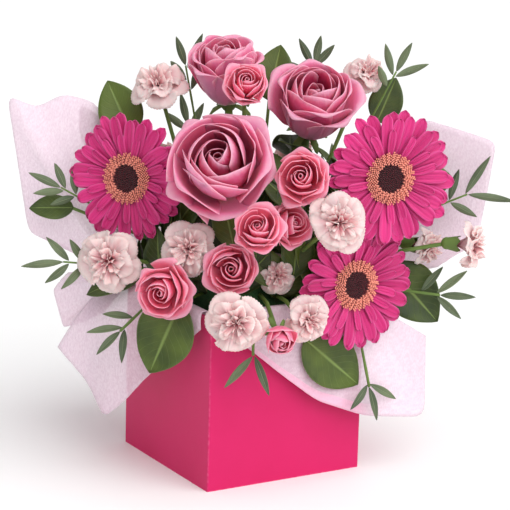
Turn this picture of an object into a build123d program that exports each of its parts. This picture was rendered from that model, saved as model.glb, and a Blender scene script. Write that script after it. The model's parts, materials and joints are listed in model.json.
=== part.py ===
"""A cube flower box: a folded card carton, a plastic liner with a brick of wet floral foam, tissue sheets tucked
round the liner, and cut stems of gerbera, rose, spray rose, carnation, salal and willow eucalyptus pushed into the foam.

Millimetres, +Z up. The origin is the centre of the carton's underside, and its walls face +-X and +-Y.
The arrangement faces a direction turned about +Z from the front wall (-Y) towards the left wall (-X).
Its own directions are: across (to the right of someone facing it), ahead (towards them) and rise (above the rim).
"""

import math
import os
from dataclasses import dataclass

from build123d import *

# ---- driving dimensions ----------------------------------------------------------------------------------------
box_side = 140.0  # carton, outside
box_height = 140.0  # carton, rim above the table
card = 1.0  # card thickness
corner_radius = 1.5  # rounding of the scored edges
glue_tab_width = 12.0
tuck_flap_height = 18.0
dust_flap_share = 0.42  # how far each dust flap reaches across the base

tissue_gap = 3.0  # between the card and the liner, where the sheets are tucked
tissue = 0.6  # a sheet, fibres fluffed up
tissue_clearance = 0.15
tuck_depth = 60.0
tissue_crest = 4.0  # the outermost sheet folds this far above the rim, and each one inside it a little higher
tissue_lip = 1.2  # a sheet runs level until it is this far outside the wall

liner_wall = 0.8
liner_height = 118.0
liner_corner_radius = 8.0

foam_width = 108.0  # cut square; what is left of the liner is the watering gap
foam_proud = 30.0  # foam above the rim, so that stems can go in from the side
foam_bevel = 10.0

arrangement_turn = -30.5  # degrees about +Z
bore_clearance = 0.05  # radial, between a stem and the foam
low_focus = foam_proud - 20.0  # low stems aim at this height above the rim, on the box's centreline
deep_focus = low_focus - 90.0  # steep stems aim at this one
low_lean, steep_lean = 20.0, 65.0  # degrees above the horizontal, seen from the low focus; between them it slides down
focal_grip = 30.0  # length of a big bloom's stem inside the foam
filler_grip = 18.0

gerbera_stem = 2.8  # radii
rose_stem = 3.0
spray_stem = 1.7
carnation_stem = 1.6
leaf_stalk = 1.3
twig = 1.1

leaf_thickness = 0.8
stalk_gap = 0.2  # between the end of a stalk and its leaf
neck_reach = 7.0  # a stem that has to come over the rim bends down this far outside the wall
neck_clearance = 1.0  # above the sheets' folds

# ---- derived places --------------------------------------------------------------------------------------------
inner_side = box_side - 2 * card
liner_side = inner_side - 2 * tissue_gap
liner_inner = liner_side - 2 * liner_wall
liner_floor = 2 * card
foam_floor = liner_floor + liner_wall
foam_top = box_height + foam_proud

OUT = "parts"
os.makedirs(OUT, exist_ok=True)


def save(made, name):
    """Writes one named node."""
    made.label = name
    export_step(made, f"{OUT}/{name}.step")


# ---- directions and places in the arrangement ------------------------------------------------------------------
def turned(across, ahead, up):
    """A direction in the arrangement as a direction in the part's own frame."""
    return Vector(across, -ahead, up).rotate(Axis.Z, arrangement_turn)


def place(across, ahead, rise):
    """A point in the arrangement; rise is counted from the rim."""
    return turned(across, ahead, box_height + rise)


def facing(yaw, pitch):
    """A unit direction: yaw degrees to the right of straight ahead, pitch degrees above the horizontal."""
    y, p = math.radians(yaw), math.radians(pitch)
    return turned(math.sin(y) * math.cos(p), math.cos(y) * math.cos(p), math.sin(p))


stems = []  # (foot, next point, radius) of everything that is pushed into the foam


def stem_line(top, radius, grip):
    """The points a stem runs through: its foot in the foam, a bend over the rim if it needs one, and its top.

    Stems fan out from a focus on the centreline, which lies deeper for the steeper ones.
    """
    reach = math.hypot(top.X, top.Y)
    way = Vector(top.X, top.Y, 0) / reach
    spread = max(abs(way.X), abs(way.Y))
    focus = Vector(0, 0, box_height + low_focus)
    lean = math.degrees(math.atan2(top.Z - focus.Z, reach))
    slide = min(max((lean - low_lean) / (steep_lean - low_lean), 0), 1)
    focus.Z += slide * (deep_focus - low_focus)

    wall = box_side / 2 / spread
    over = box_height + tissue_crest + 3 * (tissue + tissue_clearance) + neck_clearance + radius
    bends = []
    if reach > wall + neck_reach and focus.Z + (top.Z - focus.Z) * (wall + tissue_lip) / reach < over:
        bends.append(way * (wall + neck_reach) + Vector(0, 0, over))

    aim = bends[0] if bends else top
    run = aim - focus
    entry = foam_width / 2 / spread / math.hypot(run.X, run.Y)
    if aim.Z > foam_top:
        entry = min(entry, (foam_top - focus.Z) / run.Z)
    foot = focus + run * (entry - grip / run.length)
    points = [foot, *bends, top]
    stems.append((foot, points[1], radius))
    return points


def draw_stem(points, radius):
    """Draws a round stem through its points, in the open part."""
    for start, end in zip(points, points[1:]):
        with BuildSketch(Plane(origin=start, z_dir=end - start)) as disc:
            Circle(radius)
        extrude(disc.sketch, amount=(end - start).length)
    for bend in points[1:-1]:
        with Locations(bend):
            Sphere(radius)


def profile_plane(seat):
    """The plane through a bloom's axis: its second direction runs along the axis."""
    return Plane(origin=seat.origin, x_dir=seat.x_dir, z_dir=-seat.y_dir)


# ---- carton ----------------------------------------------------------------------------------------------------
def make_box_walls():
    """Four walls folded from one sheet, with the glue tab lapped inside the back wall's left end."""
    with BuildPart() as walls:
        with BuildSketch():
            RectangleRounded(box_side, box_side, corner_radius)
            Rectangle(inner_side, inner_side, mode=Mode.SUBTRACT)
        extrude(amount=box_height)
        tab_height = box_height - 2 * glue_tab_width
        with Locations((-inner_side / 2 + glue_tab_width / 2, inner_side / 2 - card / 4, box_height / 2)):
            Box(glue_tab_width, card / 2, tab_height)
    save(walls.part, "box_walls")


def make_base_panel():
    """The outermost base panel, with its tuck flap standing up inside the right wall."""
    side = inner_side - 2 * bore_clearance
    with BuildPart() as panel:
        with BuildSketch():
            Rectangle(side, side)
        extrude(amount=card)
        with Locations((side / 2 - card / 2, 0, card + tuck_flap_height / 2)):
            Box(card, side - 2 * glue_tab_width, tuck_flap_height)
    save(panel.part, "base_panel")


def make_dust_flaps():
    """Two flaps folded in from the front and back walls, lying on the base panel."""
    reach = inner_side * dust_flap_share
    width = inner_side - 2 * (card + 2 * bore_clearance)
    with BuildPart() as flaps:
        with BuildSketch(Plane.XY.offset(card)):
            with Locations((0, -inner_side / 2 + reach / 2 + card / 2), (0, inner_side / 2 - reach / 2 - card / 2)):
                Rectangle(width, reach)
        extrude(amount=card)
    save(flaps.part, "dust_flaps")


def make_liner_tray():
    """A thin waterproof tray with rounded corners."""
    with BuildPart() as tray:
        with BuildSketch(Plane.XY.offset(liner_floor)):
            RectangleRounded(liner_side, liner_side, liner_corner_radius)
        extrude(amount=liner_height)
        with BuildSketch(Plane.XY.offset(foam_floor)):
            RectangleRounded(liner_inner, liner_inner, liner_corner_radius - liner_wall)
        extrude(amount=liner_height, mode=Mode.SUBTRACT)
    save(tray.part, "liner_tray")


def make_foam_brick():
    """The foam, bevelled round its top, with a bore for every stem that was pushed into it."""
    with BuildPart() as foam:
        with BuildSketch(Plane.XY.offset(foam_floor)):
            Rectangle(foam_width, foam_width)
        extrude(amount=foam_top - foam_floor)
        chamfer(foam.faces().sort_by(Axis.Z)[-1].edges(), foam_bevel)
        for foot, top, radius in stems:
            with BuildSketch(Plane(origin=foot, z_dir=top - foot)):
                Circle(radius + bore_clearance)
            extrude(amount=box_side, mode=Mode.SUBTRACT)
    save(foam.part, "foam_brick")


# ---- tissue sheets ---------------------------------------------------------------------------------------------
def make_tissue(name, wall, layer, along, edge):
    """A sheet tucked down inside one wall, folded over the rim, and spread to its outer edge.

    wall is the outward direction of the wall; along lists distances along the wall, one for each point of edge;
    layer counts the sheets inwards from the wall.
    """
    outward = Vector(*wall)
    sideways = outward.cross(Vector(0, 0, -1))
    step = tissue + tissue_clearance
    crest = box_height + tissue_crest + layer * step
    depth = inner_side / 2 - step - layer * step
    lip = box_side / 2 + tissue_lip + layer * step
    roots = [outward * depth + sideways * a + Vector(0, 0, crest) for a in along]
    lips = [root + outward * (lip - depth) for root in roots]
    ends = [Vector(*point) for point in edge]
    standing = sum(end.Z for end in ends) / len(ends) > crest
    thicker = Vector(0, 0, tissue) + outward * (-tissue if standing else tissue)
    middle, width = (min(along) + max(along)) / 2, max(along) - min(along)
    tuck_top = outward * (depth + tissue / 2) + sideways * middle + Vector(0, 0, crest + tissue)
    with BuildPart() as sheet:
        with BuildSketch(Plane(origin=tuck_top, x_dir=sideways, z_dir=(0, 0, 1))):
            Rectangle(width, tissue)
        extrude(amount=-tuck_depth)
        # Each strip between two folds is two flat triangles, thickened in one direction.
        for near, far in ((roots, lips), (lips, ends)):
            for i in range(len(along) - 1):
                for corners in ((near[i], far[i], far[i + 1]), (near[i], far[i + 1], near[i + 1])):
                    piece = Face(Wire.make_polygon(corners, close=True))
                    extrude(piece, amount=thicker.length, dir=thicker)
    save(sheet.part, name)


def make_tissues():
    """Six sheets. Edge points are in the part's own frame, listed along the wall from its left end to its right."""
    left, front, right, back = (-1, 0, 0), (0, -1, 0), (1, 0, 0), (0, 1, 0)
    rim = box_height
    half = box_side / 2
    # The edges are given from the carton's own corners, so that they follow it.
    make_tissue(
        "tissue_left_flap", left, 0, [-60, -40, -20, -4, 30, 62],
        [(-half - 57, half + 8, rim - 54), (-half - 48, half - 20, rim - 76), (-half - 45, half - 49, rim - 99),
         (-half - 35, half - 66, rim - 81), (-half - 15, -half + 36, rim - 38), (-half - 5, -half + 8, rim - 10)],
    )
    make_tissue(
        "tissue_left_middle", left, 1, [-58, -52, -48, -42],
        [(-half - 42, half + 24, rim + 4), (-half - 59, half + 16, rim - 8), (-half - 50, half + 14, rim - 40),
         (-half - 30, half - 16, rim - 22)],
    )
    make_tissue(
        "tissue_left_tall", left, 2, [-62, -56, -50, -44],
        [(-half - 48, half + 34, rim + 26), (-half - 66, half + 46, rim + 34), (-half - 80, half + 53, rim + 145),
         (-half - 44, half + 32, rim + 150)],
    )
    make_tissue(
        "tissue_front_flap", front, 0, [-62, -30, 20, 50, 58, 64],
        [(-half + 8, -half - 5, rim - 10), (-half + 29, -half - 8, rim - 25), (half - 50, -half - 11, rim - 74),
         (half - 6, -half - 13, rim - 92), (half + 48, -half - 23, rim - 98), (half + 46, -half - 21, rim - 30)],
    )
    make_tissue(
        "tissue_right_tall", right, 0, [-34, -24, -12, 4, 22],
        [(half + 66, -half - 6, rim + 20), (half + 102, -half - 9, rim + 42), (half + 112, -half - 14, rim + 122),
         (half + 61, -half + 16, rim + 140), (half + 40, -half + 50, rim + 120)],
    )
    make_tissue(
        "tissue_back", back, 0, [-52, -20, 20, 54],
        [(half + 20, half + 44, rim + 52), (30, half + 66, rim + 92), (-30, half + 66, rim + 98),
         (-half - 16, half + 46, rim + 74)],
    )


# ---- blooms ----------------------------------------------------------------------------------------------------
@dataclass
class Bloom:
    """A flower head: its centre in the arrangement, the way it faces, and its radius and depth."""

    name: str
    across: float
    ahead: float
    rise: float
    yaw: float
    pitch: float
    radius: float
    depth: float

    def seat(self):
        """The plane under the head, facing the way the head does."""
        axis = facing(self.yaw, self.pitch)
        centre = place(self.across, self.ahead, self.rise)
        return Plane(origin=centre - axis * (self.depth / 2), z_dir=axis)


gerbera_throat = 21.0  # radius of the ring of short florets
gerbera_bowl = 0.55  # share of the head's depth where the florets stand
head_foot = 6.0  # radius of a head where it meets its calyx
back_row = -50.0  # fillers further back than this are counted as the back ones

gerberas = [
    Bloom("gerbera_left", -94, 24, 93, -25, 5, 51, 14),
    Bloom("gerbera_right", 110, 46, 103, 20, 4, 54, 14),
    Bloom("gerbera_front", 86, 53, 19, 32, 4, 52, 14),
]
roses = [
    Bloom("rose_front", -21, 76, 116, -6, 32, 41, 58),
    Bloom("rose_high", -19, -9, 172, -12, 66, 30, 56),
    Bloom("rose_right", 50, 8, 150, 8, 50, 34, 60),
]
spray_roses = [
    Bloom("spray_rose_top", -3, 42, 173, 6, 34, 17, 26),
    Bloom("spray_rose_centre", 41, 88, 110, -8, 22, 20, 28),
    Bloom("spray_rose_low_left", 9, 112, 75, -4, 30, 18, 26),
    Bloom("spray_rose_low_right", 33, 82, 72, 36, 22, 17, 26),
    Bloom("spray_rose_middle", -10, 98, 40, -4, 16, 20, 28),
    Bloom("spray_rose_left", -62, 92, 20, -14, 2, 22, 28),
    Bloom("spray_rose_bud", 28, 124, -7, 14, -14, 11.5, 22),
    Bloom("spray_rose_back", -26, -78, 74, 178, 24, 20, 28),
]
carnations = [
    Bloom("carnation_top_left", -72, -8, 160, -20, 52, 22, 24),
    Bloom("carnation_top_right", 92, -31, 169, 22, 46, 17, 24),
    Bloom("carnation_left", -104, 57, 35, -22, 6, 25, 24),
    Bloom("carnation_middle", -43, 76, 50, -8, 12, 21, 24),
    Bloom("carnation_centre", 69, 100, 79, 10, 14, 23, 24),
    Bloom("carnation_front", -5, 124, 7, -2, -4, 24, 26),
    Bloom("carnation_inner", 24.5, 62, 27, 4, 14, 15, 20),
    Bloom("carnation_front_right", 46.5, 99, 3, 28, 2, 19, 24),
    Bloom("carnation_right", 140, 3, 40, 62, 0, 15.5, 26),
    Bloom("carnation_far_right", 172, 28, 48, 82, 0, 19, 26),
    Bloom("carnation_back_left", -66, -56, 88, 212, 26, 21, 26),
    Bloom("carnation_back_right", 40, -76, 90, 156, 26, 21, 26),
]


def make_stem(seat, radius, calyx, grip):
    """A stem with a half-round calyx on its end, cut off flat where the head sits on it."""
    with BuildPart() as stem:
        draw_stem(stem_line(seat.origin, radius, grip), radius)
        with Locations(seat.origin):
            Sphere(calyx)
        split(bisect_by=seat, keep=Keep.BOTTOM)
    return stem.part


def make_gerbera(bloom):
    """A shallow dish of ray petals, a domed eye in it, and a bare stem."""
    seat = bloom.seat()
    bowl = bloom.depth * gerbera_bowl
    with BuildPart() as petals:
        with BuildSketch(profile_plane(seat)):
            with BuildLine():
                Polyline(
                    (0, 0), (head_foot + 2, 0), (bloom.radius, bloom.depth - 5), (bloom.radius, bloom.depth - 2),
                    (gerbera_throat, bowl), (0, bowl), close=True,
                )
            make_face()
        revolve(axis=Axis(seat.origin, seat.z_dir))
    with BuildPart() as eye:
        with BuildSketch(profile_plane(seat)):
            with BuildLine():
                Polyline(
                    (0, bowl), (gerbera_throat - 1, bowl), (gerbera_throat - 1, bowl + 3),
                    (gerbera_throat / 2, bowl + 5.2), (0, bowl + 6), close=True,
                )
            make_face()
        revolve(axis=Axis(seat.origin, seat.z_dir))
    save(petals.part, bloom.name)
    save(eye.part, f"{bloom.name}_eye")
    save(make_stem(seat, gerbera_stem, head_foot + 1, focal_grip), f"{bloom.name}_stem")


def make_cup(bloom, shoulder, mouth):
    """A closed cup-shaped head: it widens to the shoulder, then draws in to the mouth, with a shallow hollow."""
    seat = bloom.seat()
    with BuildPart() as head:
        with BuildSketch(profile_plane(seat)):
            with BuildLine():
                Line((0, 0), (head_foot, 0))
                Spline(
                    (head_foot, 0), (bloom.radius * 0.9, bloom.depth * shoulder * 0.55),
                    (bloom.radius, bloom.depth * shoulder), (bloom.radius * mouth, bloom.depth * 0.94),
                    tangents=((1, 0.35), (-0.6, 1)),
                )
                Line((bloom.radius * mouth, bloom.depth * 0.94), (0, bloom.depth))
                Line((0, bloom.depth), (0, 0))
            make_face()
        revolve(axis=Axis(seat.origin, seat.z_dir))
    save(head.part, bloom.name)


def make_blooms():
    """Every head, and its stem. The focal stems are nodes of their own; the fillers' are grouped."""
    for bloom in gerberas:
        make_gerbera(bloom)
    for bloom in roses:
        make_cup(bloom, shoulder=0.62, mouth=0.7)
        save(make_stem(bloom.seat(), rose_stem, head_foot, focal_grip), f"{bloom.name}_stem")
    for bloom in spray_roses:
        make_cup(bloom, shoulder=0.6, mouth=0.7)
    for bloom in carnations:
        make_cup(bloom, shoulder=0.66, mouth=0.74)


def make_filler_stem(bloom):
    """The thinner stem of a spray rose or a carnation."""
    radius = spray_stem if bloom in spray_roses else carnation_stem
    return make_stem(bloom.seat(), radius, head_foot - 1, filler_grip)


def make_filler_stems():
    """One carnation's stem by itself, and the other fillers' stems as separate solids, grouped by where they stand."""
    groups = {"carnation_left_stem": [], "filler_stems_back": [], "filler_stems_left": [], "filler_stems_right": []}
    for bloom in spray_roses + carnations:
        if bloom.name == "carnation_left":
            name = "carnation_left_stem"
        elif bloom.ahead < back_row:
            name = "filler_stems_back"
        else:
            name = "filler_stems_left" if bloom.across < 0 else "filler_stems_right"
        groups[name].append(make_filler_stem(bloom))
    for name, group in groups.items():
        save(Compound(children=group), name)


# ---- greenery --------------------------------------------------------------------------------------------------
@dataclass
class Leaf:
    """A salal leaf: its foot and tip in the arrangement, its width, and the way its face looks."""

    foot: tuple
    tip: tuple
    width: float
    yaw: float
    pitch: float


salal = {
    "salal_left": [
        Leaf((-94, -14, 122), (-114, -26, 162), 34, -10, 20),
        Leaf((-114, -34, 100), (-136, -42, 138), 24, -30, 15),
        Leaf((-140, -4, 62), (-174, -4, 61), 20, -10, 35),
        Leaf((-84, 5, 13), (-127, 7, -6), 31, -20, 60),
    ],
    "salal_right": [
        Leaf((104, -34, 134), (118, -42, 168), 26, 10, 20),
        Leaf((134, -10, 86), (164, -12, 94), 28, 20, 5),
        Leaf((116, 8, 22), (156, 12, -20), 42, 20, 5),
    ],
    "salal_front": [
        Leaf((-50, 82, 6), (-72, 84, -48), 46, -18, 20),
        Leaf((50, 63, -25), (93, 44, -65), 40, 30, 0),
    ],
    "salal_back": [
        Leaf((16, -34, 150), (24, -44, 192), 30, 170, 10),
        Leaf((-92, -36, 60), (-122, -40, 86), 38, 200, 30),
        Leaf((84, -66, 50), (118, -84, 68), 40, 160, 30),
        Leaf((12, -86, 26), (16, -112, 52), 34, 180, 30),
    ],
}


@dataclass
class Sprig:
    """A willow-eucalyptus twig: where its tip is, and its leaves as (distance back from the tip, angle, length).

    The leaves lie in one fan that looks the way given, and angles are counted from the twig, upwards or to the right.
    """

    tip: tuple
    yaw: float
    pitch: float
    leaves: tuple


eucalyptus = {
    "eucalyptus_left": [
        Sprig((-148, 4, 80), -10, 10, ((0, 4, 28), (5, -38, 22), (5, 34, 24), (14, 48, 20), (14, -52, 20))),
        Sprig((-142, 48, 30), -16, 10, ((0, 10, 34), (6, -40, 26), (6, 44, 24), (18, 52, 26), (18, -50, 22))),
        Sprig((-96, 66, -20), -20, 20, ((0, 0, 26), (5, 40, 28), (5, -40, 28), (16, -56, 24))),
    ],
    "eucalyptus_right": [
        Sprig((116, -16, 177), 10, 10, ((0, 0, 26), (5, -42, 28), (5, 42, 26), (15, 50, 18))),
        Sprig((176, -2, 82), 20, 10, ((0, -30, 38), (3, 36, 36), (16, -50, 24), (16, 52, 26))),
        Sprig((156, 20, 4), 20, 15, ((0, 4, 28), (4, 44, 30), (4, -36, 26), (16, 56, 26))),
    ],
    "eucalyptus_front": [
        Sprig((101, 46, -66), 30, 0, ((0, 4, 28), (3, -50, 24), (3, 50, 28))),
        Sprig((8, 97, -28), 0, 0, ((0, -42, 32), (3, 20, 32))),
    ],
    "eucalyptus_top": [
        Sprig((-52, -38, 174), 0, 5, ((0, 8, 24), (4, -34, 30), (14, 30, 20), (22, -30, 20))),
        Sprig((52, -46, 178), 0, 5, ((0, 0, 22), (4, -30, 22), (4, 40, 24), (14, 62, 20))),
    ],
    "eucalyptus_back": [
        Sprig((-50, -62, 122), 190, 10, ((0, 0, 26), (6, 40, 24), (6, -40, 24))),
        Sprig((76, -84, 84), 170, 10, ((0, 0, 26), (6, 40, 24), (6, -40, 24), (18, -46, 24))),
    ],
}
eucalyptus_leaf_width = 6.0


def blade(foot, tip, width, look):
    """Draws a flat pointed leaf from foot to tip in the open part: two arcs, widest half way."""
    run = tip - foot
    normal = look - run * (look.dot(run) / run.dot(run))
    sketch_plane = Plane(origin=foot, x_dir=run, z_dir=normal)
    long, half = run.length, width / 2
    with BuildSketch(sketch_plane) as outline:
        with BuildLine():
            ThreePointArc((0, 0), (long / 2, half), (long, 0))
            ThreePointArc((long, 0), (long / 2, -half), (0, 0))
        make_face()
    extrude(outline.sketch, amount=leaf_thickness / 2, both=True)


def stalk(points, radius):
    """A bare stalk through its points, as a part."""
    with BuildPart() as made:
        draw_stem(points, radius)
    return made.part


def make_salal():
    """Salal leaves in groups, and their stalks together in one node."""
    stalks = []
    for name, leaves in salal.items():
        blades = []
        for leaf in leaves:
            foot, tip = place(*leaf.foot), place(*leaf.tip)
            with BuildPart() as made:
                blade(foot, tip, leaf.width, facing(leaf.yaw, leaf.pitch))
            blades.append(made.part)
            points = stem_line(foot, leaf_stalk, filler_grip)
            aim = (points[-1] - points[-2]).normalized()
            points[-1] -= aim * (leaf_stalk + stalk_gap)
            stalks.append(stalk(points, leaf_stalk))
        save(Compound(children=blades), name)
    save(Compound(children=stalks), "salal_stalks")


def make_sprig(sprig):
    """A twig and its narrow leaves, as separate solids."""
    tip = place(*sprig.tip)
    points = stem_line(tip, twig, filler_grip)
    made = [stalk(points, twig)]
    run = (tip - points[-2]).normalized()
    look = facing(sprig.yaw, sprig.pitch)
    look = (look - run * look.dot(run)).normalized()
    for back, angle, length in sprig.leaves:
        way = run.rotate(Axis((0, 0, 0), look), angle)
        if back:
            clear = (twig + stalk_gap) / math.sin(math.radians(abs(angle)))
        else:
            clear = twig * abs(math.sin(math.radians(angle))) + stalk_gap
        foot = tip - run * back + way * clear
        with BuildPart() as leaf:
            blade(foot, foot + way * length, eucalyptus_leaf_width, look)
        made.append(leaf.part)
    return made


def make_eucalyptus():
    """Every eucalyptus group."""
    for name, sprigs in eucalyptus.items():
        save(Compound(children=[solid for sprig in sprigs for solid in make_sprig(sprig)]), name)


make_box_walls()
make_base_panel()
make_dust_flaps()
make_liner_tray()
make_tissues()
make_blooms()
make_filler_stems()
make_salal()
make_eucalyptus()
make_foam_brick()
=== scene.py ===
# %% [markdown]
# # A flower box: from solid stand-ins to petals
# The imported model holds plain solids: cups for roses, dishes for gerberas, plates for leaves.
# They say where everything is and how it moves. This lesson builds the soft shapes around them.
# Everything is in metres, with Z up and the origin under the middle of the carton.

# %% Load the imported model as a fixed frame
import json

import bmesh
import bpy
import numpy as np
from mathutils import Matrix, Vector


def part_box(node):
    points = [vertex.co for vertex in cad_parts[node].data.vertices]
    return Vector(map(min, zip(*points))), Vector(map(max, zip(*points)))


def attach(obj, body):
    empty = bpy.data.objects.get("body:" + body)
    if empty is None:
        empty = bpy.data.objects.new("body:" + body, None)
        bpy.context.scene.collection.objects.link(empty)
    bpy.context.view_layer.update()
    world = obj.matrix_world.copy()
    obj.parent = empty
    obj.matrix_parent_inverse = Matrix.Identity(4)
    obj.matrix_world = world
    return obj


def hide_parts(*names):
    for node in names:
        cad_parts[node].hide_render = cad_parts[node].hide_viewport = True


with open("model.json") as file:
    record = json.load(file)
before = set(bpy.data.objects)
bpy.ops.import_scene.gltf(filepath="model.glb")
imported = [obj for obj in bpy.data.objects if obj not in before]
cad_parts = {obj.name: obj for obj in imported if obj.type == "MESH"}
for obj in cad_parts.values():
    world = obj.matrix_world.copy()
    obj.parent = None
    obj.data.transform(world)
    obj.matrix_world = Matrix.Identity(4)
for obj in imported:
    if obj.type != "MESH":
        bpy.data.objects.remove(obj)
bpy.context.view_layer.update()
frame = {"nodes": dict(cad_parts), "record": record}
MM = 0.001
bodies = frame["record"]["behaviour"]["bodies"]
body_of_node = {node: body for body, nodes in bodies.items() for node in nodes}

# %% [markdown]
# ## A grid of points becomes a mesh
# A petal, a leaf and a sheet are all one thing: a function of two numbers, v along and u across.
# Such a function is worked out for all its points at once, as an array, and for many petals at once.
# The arrays here are (pieces, rows, columns, 3). Only the last step, in `skin`, talks to Blender.


# %% Put stacked grids into one mesh
def add_object(name, data):
    made = bpy.data.objects.new(name, data)
    bpy.context.scene.collection.objects.link(made)
    return made


def skin(name, grids, tints=None, closed_round=False, weld=False):
    """Joins grids of points, each (pieces, rows, columns, 3), into one mesh object.

    Each square of four neighbouring points is a face. The UV map is u across and v along each grid, and the
    point attribute "tint" is one number for each piece."""
    points, faces, uvs, shades, start = [], [], [], [], 0
    for number, grid in enumerate(grids):
        count, rows, cols, _ = grid.shape
        row = np.arange(rows - 1)[:, None]
        col = np.arange(cols if closed_round else cols - 1)[None, :]
        beside = (col + 1) % cols
        here, above = row * cols, (row + 1) * cols
        square = np.stack([here + col, here + beside, above + beside, above + col], -1)
        offsets = start + np.arange(count) * rows * cols
        faces.append((square.reshape(1, -1, 4) + offsets[:, None, None]).reshape(-1, 4))
        points.append(grid.reshape(-1, 3))
        v, u = np.meshgrid(np.linspace(0, 1, rows), np.linspace(0, 1, cols), indexing="ij")
        uvs.append(np.tile(np.stack([u, v], -1).reshape(1, -1, 2), (count, 1, 1)).reshape(-1, 2))
        shade = np.full(count, 0.5) if tints is None else tints[number]
        shades.append(np.repeat(shade, rows * cols))
        start += count * rows * cols
    points, faces, uvs, shades = (np.concatenate(x) for x in (points, faces, uvs, shades))
    mesh = bpy.data.meshes.new(name)
    mesh.vertices.add(len(points))
    mesh.vertices.foreach_set("co", points.astype(np.float32).ravel())
    mesh.loops.add(faces.size)
    mesh.loops.foreach_set("vertex_index", faces.astype(np.int32).ravel())
    mesh.polygons.add(len(faces))
    mesh.polygons.foreach_set("loop_start", np.arange(0, faces.size, 4, dtype=np.int32))
    mesh.update(calc_edges=True)
    mesh.uv_layers.new(name="UVMap").data.foreach_set("uv", uvs[faces.ravel()].astype(np.float32).ravel())
    mesh.attributes.new("tint", "FLOAT", "POINT").data.foreach_set("value", shades.astype(np.float32))
    if weld:
        shell = bmesh.new()
        shell.from_mesh(mesh)
        bmesh.ops.remove_doubles(shell, verts=shell.verts, dist=2e-6)
        bmesh.ops.recalc_face_normals(shell, faces=shell.faces)
        shell.to_mesh(mesh)
        shell.free()
    mesh.polygons.foreach_set("use_smooth", np.ones(len(mesh.polygons), bool))
    return add_object(name, mesh)


def thicken(piece, thickness):
    """A Solidify modifier turns a sheet into a closed shell of that thickness, half on each side."""
    solid = piece.modifiers.new("thickness", "SOLIDIFY")
    solid.thickness = thickness
    solid.offset = 0
    return piece


def finish_piece(piece, material, body, slot, *nodes):
    """Gives a piece its material and body, and hides the solids that it stands for. The slot is not used."""
    piece.data.materials.append(material)
    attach(piece, body)
    if nodes:
        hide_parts(*nodes)
    return piece


# %% [markdown]
# ## Shader maths in plain Python
# Node trees are quicker to read as sums. `Field` wraps one socket, and its operators add Math nodes,
# so `1 - rim * 0.5` is a small tree. `Finish` is one material, and its `node` method adds any node.


# %% A socket that does arithmetic, and a material that holds it
class Field:
    """A number or colour that changes over a surface."""

    def __init__(self, finish, socket):
        self.finish, self.socket = finish, socket

    def math(self, operation, *values):
        return self.finish.node("ShaderNodeMath", {"operation": operation}, dict(enumerate(values)))

    def __add__(self, other):
        return self.math("ADD", self, other)

    def __sub__(self, other):
        return self.math("SUBTRACT", self, other)

    def __rsub__(self, other):
        return self.math("SUBTRACT", other, self)

    def __mul__(self, other):
        return self.math("MULTIPLY", self, other)

    def __abs__(self):
        return self.math("ABSOLUTE", self)

    def between(self, low, high):
        """0 below low and 1 above high, with a smooth step from one to the other; low may be the larger."""
        return self.finish.node(
            "ShaderNodeMapRange", {"interpolation_type": "SMOOTHSTEP"},
            {"Value": self, "From Min": low, "From Max": high, "To Min": 0.0, "To Max": 1.0},
        )

    __radd__, __rmul__ = __add__, __mul__


class Finish:
    """A material, with its Principled shader's constants set on the sockets."""

    def __init__(self, name, **constants):
        self.material = bpy.data.materials.new(name)
        self.material.use_nodes = True
        self.tree = self.material.node_tree
        self.shader = self.tree.nodes["Principled BSDF"]
        for socket, value in constants.items():
            self.shader.inputs[socket.replace("_", " ")].default_value = value

    def node(self, kind, settings=None, inputs=None, output=0):
        """Adds a node: its settings first, then its sockets' values or links. Returns one of its outputs."""
        made = self.tree.nodes.new(kind)
        for key, value in (settings or {}).items():
            setattr(made, key, value)
        for key, value in (inputs or {}).items():
            if isinstance(value, Field):
                self.tree.links.new(value.socket, made.inputs[key])
            else:
                made.inputs[key].default_value = value
        return Field(self, made.outputs[output])

    def place(self):
        """Where a point is on the object, in metres."""
        return self.node("ShaderNodeTexCoord", output="Object")

    def across_along(self):
        """The piece's own u and v."""
        uv = self.node("ShaderNodeSeparateXYZ", inputs={0: self.node("ShaderNodeTexCoord", output="UV")})
        return Field(self, uv.socket.node.outputs[0]), Field(self, uv.socket.node.outputs[1])

    def tint(self):
        return self.node("ShaderNodeAttribute", {"attribute_name": "tint"}, output="Fac")

    def noise(self, scale, detail=3.0, stretch=None, where=None):
        """Cloudy noise, with so many clumps to a metre, or to a piece where it reads the UV map."""
        where = where or self.place()
        if stretch:
            where = self.node("ShaderNodeVectorMath", {"operation": "MULTIPLY"}, {0: where, 1: stretch})
        return self.node("ShaderNodeTexNoise", inputs={"Vector": where, "Scale": scale, "Detail": detail})

    def blend(self, factor, low, high):
        """The colour low where factor is 0 and high where it is 1."""
        return self.node("ShaderNodeMix", {"data_type": "RGBA"}, {0: factor, 6: low, 7: high}, output=2)

    def drive(self, colour=None, roughness=None, alpha=None, bump=None, height=0.2 * MM):
        """Links what changes over the surface: colour, roughness, alpha, and a bump of so many metres."""
        for name, field in (("Base Color", colour), ("Roughness", roughness), ("Alpha", alpha)):
            if field is not None:
                self.tree.links.new(field.socket, self.shader.inputs[name])
        if bump is not None:
            raised = self.node("ShaderNodeBump", inputs={"Height": bump, "Distance": height, "Strength": 1.0})
            self.tree.links.new(raised.socket, self.shader.inputs["Normal"])
        return self.material


def tone(red, green, blue):
    """A colour given as it looks on a screen, from 0 to 255, as the linear values that shaders use."""
    value = np.array([red, green, blue]) / 255
    linear = np.where(value <= 0.04045, value / 12.92, ((value + 0.055) / 1.055) ** 2.4)
    return (*linear.tolist(), 1.0)


# %% [markdown]
# ## Card, tissue, liner and foam
# The carton is satin-coated card: nearly even colour, a fine tooth, and a paler line where it is creased.
# The tissue is non-woven, so long fibres lie in it every way and it lets some light through. A sheet
# whose tint is 1 has a doubled, pinker hem along part of its edge.


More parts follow.
